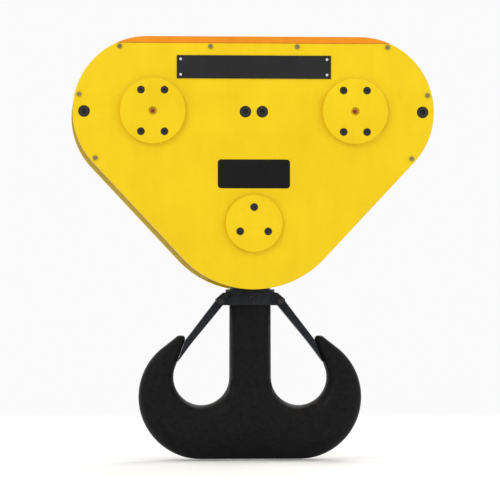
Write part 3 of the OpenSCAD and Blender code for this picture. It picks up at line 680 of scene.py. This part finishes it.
def coil_tree():
    """A closely wound torsion spring about Z."""
    g, i, out = geo_tree("wound_spring", [("Turns", "NodeSocketFloat"), ("Coil radius", "NodeSocketFloat"),
                                         ("Wire radius", "NodeSocketFloat"), ("Coil length", "NodeSocketFloat"),
                                         ("Finish", "NodeSocketMaterial")])
    spiral = g.nodes.new("GeometryNodeCurveSpiral")
    spiral.inputs["Resolution"].default_value = 28
    g.links.new(i["Turns"], spiral.inputs["Rotations"])
    g.links.new(i["Coil radius"], spiral.inputs["Start Radius"])
    g.links.new(i["Coil radius"], spiral.inputs["End Radius"])
    g.links.new(i["Coil length"], spiral.inputs["Height"])
    wire = g.nodes.new("GeometryNodeCurvePrimitiveCircle")
    wire.inputs["Resolution"].default_value = 10
    g.links.new(i["Wire radius"], wire.inputs["Radius"])
    skin = g.nodes.new("GeometryNodeCurveToMesh")
    skin.inputs["Fill Caps"].default_value = True
    g.links.new(spiral.outputs[0], skin.inputs["Curve"])
    g.links.new(wire.outputs[0], skin.inputs["Profile Curve"])
    close_tree(g, skin.outputs[0], i["Finish"], out)
    return g


def grown(me, tree, values):
    """The plain mesh that a geometry node tree grows on me."""
    o = bpy.data.objects.new("growing", me)
    bpy.context.scene.collection.objects.link(o)
    mod = o.modifiers.new("grow", "NODES")
    mod.node_group = tree
    ids = {s.name: s.identifier for s in tree.interface.items_tree if s.in_out == "INPUT"}
    for label, value in values.items():
        mod[ids[label]] = value
    bpy.context.view_layer.update()
    out = bpy.data.meshes.new_from_object(o.evaluated_get(bpy.context.evaluated_depsgraph_get()))
    o.modifiers.remove(mod)
    bpy.data.objects.remove(o)
    return out


FASTENERS, WELD_TREE, COIL_TREE = fastener_tree(), weld_tree(), coil_tree()
FACING = {"front": (math.pi / 2, 0, 0), "rear": (-math.pi / 2, 0, 0)}


def socket_head(r, h, hex_r, hex_depth, n=36):
    """A socket screw's head standing on Z = 0: knurled side, chamfer, hexagon socket. Sizes in mm."""
    bm = bmesh.new()

    def hexagon(k):
        a = (2 * math.pi * k / n) % (math.pi / 3) - math.pi / 6
        return hex_r * math.cos(math.pi / 6) / math.cos(a)

    def knurled(k):
        return r * (1 - 0.018 * (k % 2))

    rows = [(lambda k: r * 0.97, 0.0), (knurled, 0.06 * h), (knurled, 0.86 * h), (lambda k: r * 0.95, h),
            (lambda k: hexagon(k) * 1.08, h), (hexagon, h - 0.05 * h), (hexagon, h - hex_depth)]
    turns = [2 * math.pi * k / n for k in range(n)]
    rings = [[bm.verts.new((f(k) * MM * math.cos(a), f(k) * MM * math.sin(a), z * MM))
              for k, a in enumerate(turns)] for f, z in rows]
    for a, b in zip(rings, rings[1:]):
        for k in range(n):
            bm.faces.new((a[k], a[(k + 1) % n], b[(k + 1) % n], b[k]))
    bm.faces.new(list(reversed(rings[0])))
    bm.faces.new(rings[-1])
    bmesh.ops.recalc_face_normals(bm, faces=bm.faces)
    return finished(bm, 30)


def placed(name, head, points, slot_name, body, nodes, seed, extra=()):
    """Fasteners of one kind on one body: points are (x, y, z, side) in mm."""
    me = bpy.data.meshes.new("points")
    me.from_pydata([(x * MM, y * MM, z * MM) for x, y, z, _ in points], [], [])
    layer = me.attributes.new("facing", "FLOAT_VECTOR", "POINT")
    layer.data.foreach_set("vector", [c for p in points for c in FACING[p[3]]])
    template = bpy.data.objects.new("head", head)
    bpy.context.scene.collection.objects.link(template)
    out = grown(me, FASTENERS, {"Head": template, "Head size": 1.0, "Turn seed": seed,
                                "Finish": MATS[slot_name]})
    bpy.data.objects.remove(template)
    if extra:
        out = joined([out, *extra])
    out.set_sharp_from_angle(angle=math.radians(30))
    return put(name, out, slot_name, body, nodes)


# ---- covers, caps and fasteners ---------------------------------------------------------------

def round_cover(cx, cz, y, r, t, holes, hole_r, centre, side):
    """A round cover from depth y outwards: a face with screw recesses and the floor behind it."""
    sign = -1 if side == "front" else 1
    loops = [circle(cx, cz, r, 96)] + [circle(cx + hx, cz + hz, hole_r, 32) for hx, hz in holes]
    if centre:
        loops.append(circle(cx, cz, centre, 32))
    floor_y = y + sign * (t - HOLE_DEPTH)
    face = slab(loops, *sorted((floor_y, y + sign * t)), 1.4)
    back = slab([circle(cx, cz, r, 96)], *sorted((y, floor_y)), 0.4)
    return joined([face, back])


def covers():
    for side, sign in (("front", -1), ("rear", 1)):
        meshes = [round_cover(sx * AXLE_X, 0, sign * OUTER_Y, COVER_R, COVER_T, COVER_HOLES, HOLE_R, 17.0,
                              side) for sx in (-1, 1)]
        put(side + "_axle_covers_painted", joined(meshes), "yellow_paint", "block", [side + "_axle_covers"])
        cap = round_cover(0, CROSS_Z, sign * (OUTER_Y + CAP_PLAY), CAP_R, CAP_T, CAP_HOLES, HOLE_R, None,
                          side)
        put(side + "_trunnion_cap_painted", cap, "yellow_paint", "crosshead", [side + "_trunnion_cap"])


def fasteners():
    faces = (("front", -1), ("rear", 1))
    head = socket_head(15, 10, 8, 6)
    cover_floor = OUTER_Y + COVER_T - HOLE_DEPTH
    pts = [(sx * AXLE_X + hx, s * cover_floor, hz, side)
           for side, s in faces for sx in (-1, 1) for hx, hz in COVER_HOLES]
    placed("axle_cover_socket_screws", head, pts, "black_oxide", "block", ["axle_cover_screws"], 3)
    pts = [(hx, s * (OUTER_Y + CAP_PLAY + CAP_T - HOLE_DEPTH), CROSS_Z + hz, side)
           for side, s in faces for hx, hz in CAP_HOLES]
    placed("trunnion_cap_socket_screws", head, pts, "black_oxide", "crosshead", ["trunnion_cap_screws"], 5)

    head = socket_head(10, 6, 4.8, 3.5)
    spots = [(180, LOBE_R - 42)]             # the screws of the middle, then those on the lobes
    spots += [arc(LOBE_X, 0, LOBE_R - SCREW_INSET, a, a, 1)[0] for a in (CROWN_SCREW, *FLANK_SCREWS)]
    pts = [(sx * x, s * OUTER_Y, z, side) for side, s in faces for sx in (-1, 1) for x, z in spots]
    placed("guard_socket_screws", head, pts, "olive_zinc", "block", ["guard_screws"], 11)

    head = socket_head(22, 22, 11, 13)
    shank_r, washer_r, nut_r = 15.0, 23.7, 22
    pts = [(x, -OUTER_Y + 23, TIE_Z, "front") for x in TIE_X]
    shanks = [slab([circle(x, TIE_Z, shank_r, 32)], -228, 244.5, 1.0) for x in TIE_X]
    washers = [slab([circle(x, TIE_Z, washer_r, 40)], y0, y1, 0.5)
               for y0, y1 in ((-226.9, -211), (211, 225.9)) for x in TIE_X]
    placed("tie_bolt_heads", head, pts, "black_oxide", "block", ["tie_bolts"], 17, shanks + washers)
    corners = [math.radians(60 * k) for k in range(6)]
    nuts = [slab([[(x + nut_r * math.cos(a), TIE_Z + nut_r * math.sin(a)) for a in corners]], 226, 248, 1.2)
            for x in TIE_X]
    put("tie_bolt_hex_nuts", joined(nuts), "black_oxide", "block", ["tie_bolt_nuts"])

    rivet = lathe([(0, 3.0), (2.6, 2.7), (4.6, 1.8), (6.0, 0.3), (6.0, 0.0), (0, 0.0)], 20)
    pts = [(sx * 304, -OUTER_Y - 4, PLATE_Z + sz * 32, "front") for sx in (-1, 1) for sz in (-1, 1)]
    placed("nameplate_round_rivets", rivet, pts, "rivet_steel", "block", ["nameplate_rivets"], 1)
    knob = lathe([(0, 15), (3.5, 14.6), (6.6, 13.0), (8.2, 10.0), (8.8, 6.0), (8.8, 1.2), (7.8, 0), (0, 0)], 28)
    pts = [(sx * AXLE_X, s * cover_floor, 0, side) for side, s in faces for sx in (-1, 1)]
    placed("nipple_soft_caps", knob, pts, "red_cap", "block", ["nipple_caps"], 1)


def rectangle(x, low, high):
    return [(-x, low), (x, low), (x, high), (-x, high)]


def nameplate():
    """A blank plate with a raised rim."""
    half_w, half_h, rim_w = 320, 48, 8
    low, high = PLATE_Z - half_h, PLATE_Z + half_h
    edge = rectangle(half_w, low, high)
    base = slab([edge], -OUTER_Y - 3.0, -OUTER_Y, 0.6)
    hollow = rectangle(half_w - rim_w, low + rim_w, high - rim_w)
    rim = slab([edge, hollow], -OUTER_Y - 4.0, -OUTER_Y - 2.5, 0.4)
    put("blank_nameplate_enamelled", joined([base, rim]), "black_enamel", "block", ["blank_nameplate"])


def load_label():
    """A blank film label on the front plate, above the trunnion cap."""
    half_w, low, high, corner = 150.0, -320.0, -200.0, 14.0
    shape = []
    for sx, z, start in ((1, low + corner, -90), (1, high - corner, 0), (-1, high - corner, 90),
                         (-1, low + corner, 180)):
        shape += arc(sx * (half_w - corner), z, corner, start, start + 90, 8)
    film = slab([shape], -OUTER_Y - 0.8, -OUTER_Y + 0.2, 0.15)
    put("blank_load_label", film, "black_enamel", "block", look="label_black")


# ---- hook -------------------------------------------------------------------------------------

NECK_R, BOWL_R, HALF_DEPTH, TIP_DEPTH = 87.5, 118.0, 90.0, 40.0
BOWL_C = Vector((NECK_R + BOWL_R - 0.5, -1105.0))
HORN_C, HORN_R = Vector((208.0, -1188.0)), 262.0
BOTTOM, THROAT, THROAT_L = -1450.0, 20.0, 130.5
TIP_OUTER = Vector((318.0, -942.0))
SIDES = 72
SQUARENESS = 2.6                             # 2 is an ellipse, more is squarer
BEND_PART, TAPER_PARTS = 22, 29              # share of the horn's thinning that the bend takes


def power(v, n):
    return math.copysign(abs(v) ** (2 / n), v)


def section(inner, outer, depth, n):
    mid = (inner + outer) / 2
    out = []
    for k in range(SIDES):
        a = math.tau * k / SIDES
        p = mid + (outer - mid) * power(math.cos(a), n)
        out.append((p.x, depth * power(math.sin(a), n), p.y))
    return out


def neck_section(z, hx, hy, n):
    return [(hx * power(math.cos(math.tau * k / SIDES), n), hy * power(math.sin(math.tau * k / SIDES), n), z)
            for k in range(SIDES)]


def skin(bm, sections):
    rings = [[bm.verts.new([c * MM for c in p]) for p in s] for s in sections]
    for a, b in zip(rings, rings[1:]):
        for k in range(SIDES):
            j = (k + 1) % SIDES
            bm.faces.new((a[k], b[k], b[j], a[j]))
    bm.faces.new(rings[0])
    bm.faces.new(list(reversed(rings[-1])))


def unit(deg):
    return Vector((math.cos(math.radians(deg)), math.sin(math.radians(deg))))


def outside_at(d):
    rel = BOWL_C - HORN_C
    b = rel.dot(d)
    return BOWL_C + d * (-b + math.sqrt(b * b - (rel.dot(rel) - HORN_R ** 2)))


def horn_sections():
    bend, tip = 88, 34
    throat_start = BOWL_C + unit(THROAT) * BOWL_R
    throat_dir = Vector((-math.sin(math.radians(THROAT)), math.cos(math.radians(THROAT))))
    out = []
    for x in [i * 6.0 for i in range(0, 14)]:
        out.append(section(Vector((x, BOWL_C.y)), Vector((x, BOTTOM)), HALF_DEPTH, SQUARENESS))
    for a in range(4, 90, 3):
        x = BOWL_C.x - BOWL_R * math.cos(math.radians(a))
        bowl = Vector((x, BOWL_C.y - BOWL_R * math.sin(math.radians(a))))
        out.append(section(bowl, Vector((x, BOTTOM)), HALF_DEPTH, SQUARENESS))
    for k in range(bend + 1):
        d, t = unit(270 + k * (90 + THROAT) / bend), k / bend * BEND_PART / TAPER_PARTS
        depth = HALF_DEPTH * (1 - t) + TIP_DEPTH * t
        out.append(section(BOWL_C + d * BOWL_R, outside_at(d), depth, SQUARENESS))
    last = outside_at(unit(THROAT)) - HORN_C
    a0, a1 = math.degrees(math.atan2(last.y, last.x)), 54.0      # the horn's circle is followed from a0 to a1
    for k in range(1, tip + 1):
        s = k / tip
        t = (BEND_PART + (TAPER_PARTS - BEND_PART) * s) / TAPER_PARTS
        on_circle = HORN_C + unit(a0 + (a1 - a0) * min(1.0, s * 1.4)) * HORN_R
        u = max(0.0, (s * 1.4 - 1) / 0.4)
        out.append(section(throat_start + throat_dir * THROAT_L * s, on_circle * (1 - u) + TIP_OUTER * u,
                           HALF_DEPTH * (1 - t) + TIP_DEPTH * t, SQUARENESS))
    end_in, end_out = Vector((279.0, -930.0)), Vector((305.0, -930.0))
    start_in, start_out = throat_start + throat_dir * THROAT_L, TIP_OUTER
    for k in range(1, 5):
        q = k / 4
        round_off = math.sqrt(max(0.0, 1 - q * q))
        inner = end_in.lerp(start_in, 1 - q) if k < 4 else end_in
        outer = start_out.lerp(end_out, 1 - round_off)
        out.append(section(inner, outer, TIP_DEPTH * (0.6 + 0.4 * round_off), 2.4))
    return out


def smoothed(bm_build, voxel, passes):
    """One closed skin over overlapping solids: remeshed at voxel mm and relaxed."""
    bm = bmesh.new()
    bm_build(bm)
    bmesh.ops.recalc_face_normals(bm, faces=bm.faces)
    me = bpy.data.meshes.new("rough")
    bm.to_mesh(me)
    bm.free()
    o = bpy.data.objects.new("rough", me)
    bpy.context.scene.collection.objects.link(o)
    r = o.modifiers.new("skin", "REMESH")
    r.mode, r.voxel_size = "VOXEL", voxel * MM
    s = o.modifiers.new("relax", "SMOOTH")
    s.factor, s.iterations = 0.5, passes
    out = bpy.data.meshes.new_from_object(o.evaluated_get(bpy.context.evaluated_depsgraph_get()))
    bpy.data.objects.remove(o)
    for p in out.polygons:
        p.use_smooth = True
    return out


def hook():
    def build(bm):
        right = horn_sections()
        skin(bm, [[(-x, y, z) for x, y, z in s] for s in reversed(right[1:])] + right)
        rows = [(-742, NECK_R, NECK_R, 2), (-805, NECK_R, NECK_R, 2), (-900, NECK_R, NECK_R, 2.15),
                (-1000, NECK_R, 88.5, 2.4), (-1105, NECK_R, 89.5, 2.7), (-1150, NECK_R + 4, 88, 2.7),
                (-1200, NECK_R + 4, 86, 2.6), (-1260, NECK_R, 80, 2.5)]
        skin(bm, [neck_section(*r) for r in reversed(rows)])
    me = smoothed(build, 5.0, 10)
    layer = me.attributes.new("edge", "FLOAT", "POINT")
    rub_depth, rub_below, rub_half = 45.0, 30, 0.085      # where slings rub the seats of the bowls
    worn = []
    for v in me.vertices:
        x, z = abs(v.co.x) / MM, v.co.z / MM
        d = math.hypot(x - BOWL_C.x, z - BOWL_C.y)
        in_seat = z < BOWL_C.y - rub_below and abs(v.co.y) < rub_half
        worn.append(max(0.0, 1 - max(0.0, d - BOWL_R) / rub_depth) if in_seat else 0.0)
    layer.data.foreach_set("value", worn)
    put("ramshorn_forging", me, "hook_black", "hook", ["ramshorn_hook"])
    shank = lathe([(0, -740), (82, -742), (84.98, -739), (84.98, -306), (84, -303.2), (80, -302.8),
                   (80, -158.5), (78.5, -157.0), (0, -157.0)], 96)
    lock_slot = ((-120, -25.1, -173), (120, 25.1, -100))
    # Painted shade: the shank gets the dark blackened-steel look instead of bright machined steel, which stands
    # in for the shade inside the block
    put("hook_turned_shank", cut_boxes(shank, [lock_slot]), "hook_black", "hook", ["ramshorn_hook"],
        look="black_oxide")


# ---- latches ----------------------------------------------------------------------------------

def latches():
    """Two bars that rest on the horns' inner faces, their collar and pins, and four wound springs."""
    tilt, eye_r, pin_hole_r, half_w = math.radians(38.8), 17.8, 10.05, 30
    bar_l, bar_step, rest_gap, upper_at, toe_at = 210, 15, 1.5, 123, 26
    d, n = Vector((math.sin(tilt), -math.cos(tilt))), Vector((math.cos(tilt), math.sin(tilt)))
    off = unit(THROAT) * -rest_gap
    start = BOWL_C + unit(THROAT) * BOWL_R
    throat_dir = Vector((-math.sin(math.radians(THROAT)), math.cos(math.radians(THROAT))))
    upper, toe = start + throat_dir * upper_at + off, start + throat_dir * toe_at + off
    p = Vector(PIVOT)
    lower = p + d * bar_l - n * bar_step
    ang = math.degrees(math.atan2(n.y, n.x))
    eye = arc(p.x, p.y, eye_r, ang, ang + 180, 24)
    for side, body in ((1, "right"), (-1, "left")):
        shape = eye + [tuple(lower), tuple(toe), tuple(upper)]
        loops = [[(side * x, z) for x, z in shape], circle(side * p.x, p.y, pin_hole_r, 32)]
        bar = slab(loops, -half_w, half_w, 2.0)
        put(body + "_latch_bar", bar, "latch_black", "latch_" + body, [body + "_latch"])
    collar = dressed("latch_collar", 1.5)
    mark_all(collar)
    put("latch_collar_machined", collar, "latch_black", "hook", ["latch_collar"])
    pins = dressed("latch_pins", 1.2)
    put("latch_hinge_pins", pins, "black_oxide", "hook", ["latch_pins"])
    wound = {"Turns": 3.0, "Coil radius": 14.3 * MM, "Wire radius": 1.7 * MM, "Coil length": 7.4 * MM,
             "Finish": MATS["spring_steel"]}
    coil_y = 33.3
    coils = []
    for sx in (-1, 1):
        for sy, turn in ((-1, TO_FRONT), (1, TO_REAR)):
            coil = grown(bpy.data.meshes.new("seed"), COIL_TREE, wound)
            place = Matrix.Translation((sx * PIVOT[0] * MM, sy * coil_y * MM, PIVOT[1] * MM))
            coil.transform(place @ turn)
            coils.append(coil)
    me = joined(coils)
    for f in me.polygons:
        f.use_smooth = True
    put("latch_torsion_springs", me, "spring_steel", "hook", ["latch_springs"])


def mark_all(me):
    """Marks faces under 6 mm2 as edges, for pieces whose faces lie every way."""
    mark_edges(me, lambda p: p.area < 6 * MM * MM)


# ---- running gear -----------------------------------------------------------------------------

PLAIN = {
    "left_axle": ("machined_steel", "block"), "right_axle": ("machined_steel", "block"),
    "axle_spacers": ("machined_steel", "block"), "bearing_inner_rings": ("bearing_steel", "block"),
    "tie_spacer_tubes": ("machined_steel", "block"), "rope_keeper_bars": ("machined_steel", "block"),
    "trunnion_bushes": ("bronze", "block"), "grease_nipples": ("bronze", "block"),
    "crosshead": ("forged_grey", "crosshead"), "thrust_lower_race": ("bearing_steel", "crosshead"),
    "thrust_rollers": ("bearing_steel", "hook"), "thrust_upper_race": ("bearing_steel", "hook"),
    "thrust_dust_shroud": ("machined_steel", "hook"), "hook_nut": ("machined_steel", "hook"),
    "nut_lock_bar": ("machined_steel", "hook"), "lock_bar_screws": ("black_oxide", "hook"),
    "collar_screws": ("black_oxide", "hook"),
}


def running_gear():
    for side in ("left", "right"):
        for place in ("front", "middle", "rear"):
            s = side + "_" + place
            PLAIN[s + "_sheave"] = ("sheave_steel", "sheave_" + s)
            PLAIN[s + "_outer_ring"] = ("bearing_steel", "sheave_" + s)
            PLAIN[s + "_rollers"] = ("bearing_steel", "sheave_" + s)
    for node, (slot_name, body) in PLAIN.items():
        me = dressed(node, 1.0 if "sheave" in node or node in ("crosshead", "hook_nut") else 0.0)
        put(node + "_dressed", me, slot_name, body, [node])


def seams():
    """Weld beads that join the flank guards to the side plates."""
    inset, start, end, bead, root = 15, 20, -62, 4.5, INNER_Y - 3
    for side, name in ((1, "right"), (-1, "left")):
        line = arc(LOBE_X, 0, LOBE_R - inset, start, FLANK, 30)
        line += arc(0, CHIN_Z, CHIN_R - inset, FLANK, end, 20)[1:]
        me = weld_path([(side * x, z) for x, z in line], (-root, root), bead)
        # Painted shade: the beads take the guards' darker olive copy of the yellow
        put(name + "_guard_weld_beads", me, "guard_paint", "block")


# ---- stage ------------------------------------------------------------------------------------

def stage():
    fade_from, fade_to = 2.2, 9.0            # metres from the middle of the floor
    bm = bmesh.new()
    bmesh.ops.create_circle(bm, cap_ends=True, segments=96, radius=70.0)
    me = bpy.data.meshes.new("floor")
    bm.to_mesh(me)
    bm.free()
    floor = bpy.data.objects.new("floor", me)
    floor.location = (0, 0, CAD_BOX[0][2] - 0.004)
    bpy.context.scene.collection.objects.link(floor)
    m, t, p = material("pale_floor", Roughness=0.8)
    pale = t.mix(t.noise(t.coords(), 0.6, 3.0), (0.94, 0.94, 0.94), (0.965, 0.965, 0.965))
    t.link(pale, p.inputs["Base Color"])
    clear = m.node_tree.nodes.new("ShaderNodeBsdfTransparent")
    either = m.node_tree.nodes.new("ShaderNodeMixShader")
    below = m.node_tree.nodes.new("ShaderNodeNewGeometry").outputs["Backfacing"]
    away = t.node("ShaderNodeVectorMath", operation="LENGTH")
    t.link(t.coords(), away.inputs[0])
    # The floor fades out with distance, so that it meets the backdrop without a line
    t.link(t.math("MAXIMUM", below, t.ramp(away.outputs["Value"], fade_from, fade_to)), either.inputs[0])
    t.link(p.outputs[0], either.inputs[1])
    t.link(clear.outputs[0], either.inputs[2])
    t.link(either.outputs[0], m.node_tree.nodes["Material Output"].inputs["Surface"])
    me.materials.append(m)

    world = bpy.data.worlds.new("studio")
    bpy.context.scene.world = world
    world.use_nodes = True
    bg = world.node_tree.nodes["Background"]
    bg.inputs["Color"].default_value = (1.0, 1.0, 1.0, 1.0)
    bg.inputs["Strength"].default_value = 0.96

    def area(name, where, at, size, power_w):
        light = bpy.data.lights.new(name, "AREA")
        light.energy, light.size = power_w, size
        o = bpy.data.objects.new(name, light)
        o.location = where
        o.rotation_euler = (Vector(at) - Vector(where)).to_track_quat("-Z", "Y").to_euler()
        bpy.context.scene.collection.objects.link(o)

    centre = (0, 0, -0.5)
    area("key", (-3.2, -5.0, 3.6), centre, 2.6, 95)
    area("fill", (4.2, -4.4, 1.0), centre, 3.2, 30)
    area("rim", (1.5, 4.5, 3.2), centre, 2.4, 90)

    cam = bpy.data.cameras.new("camera")
    cam.lens, cam.sensor_width = 232.0, 36.0
    cam.clip_end = 200.0
    o = bpy.data.objects.new("camera", cam)
    where, at = Vector((-0.882, -13.554, -0.852)), Vector((0.0, 0.0, -0.57))
    o.location = where
    o.rotation_euler = (at - where).to_track_quat("-Z", "Y").to_euler()
    bpy.context.scene.collection.objects.link(o)
    bpy.context.scene.camera = o
    bpy.context.scene.view_settings.view_transform = "Standard"


side_plates()
top_guard()
for guard_side in (-1, 1):
    flank_guard(guard_side)
seams()
covers()
fasteners()
nameplate()
load_label()
hook()
latches()
running_gear()
stage()
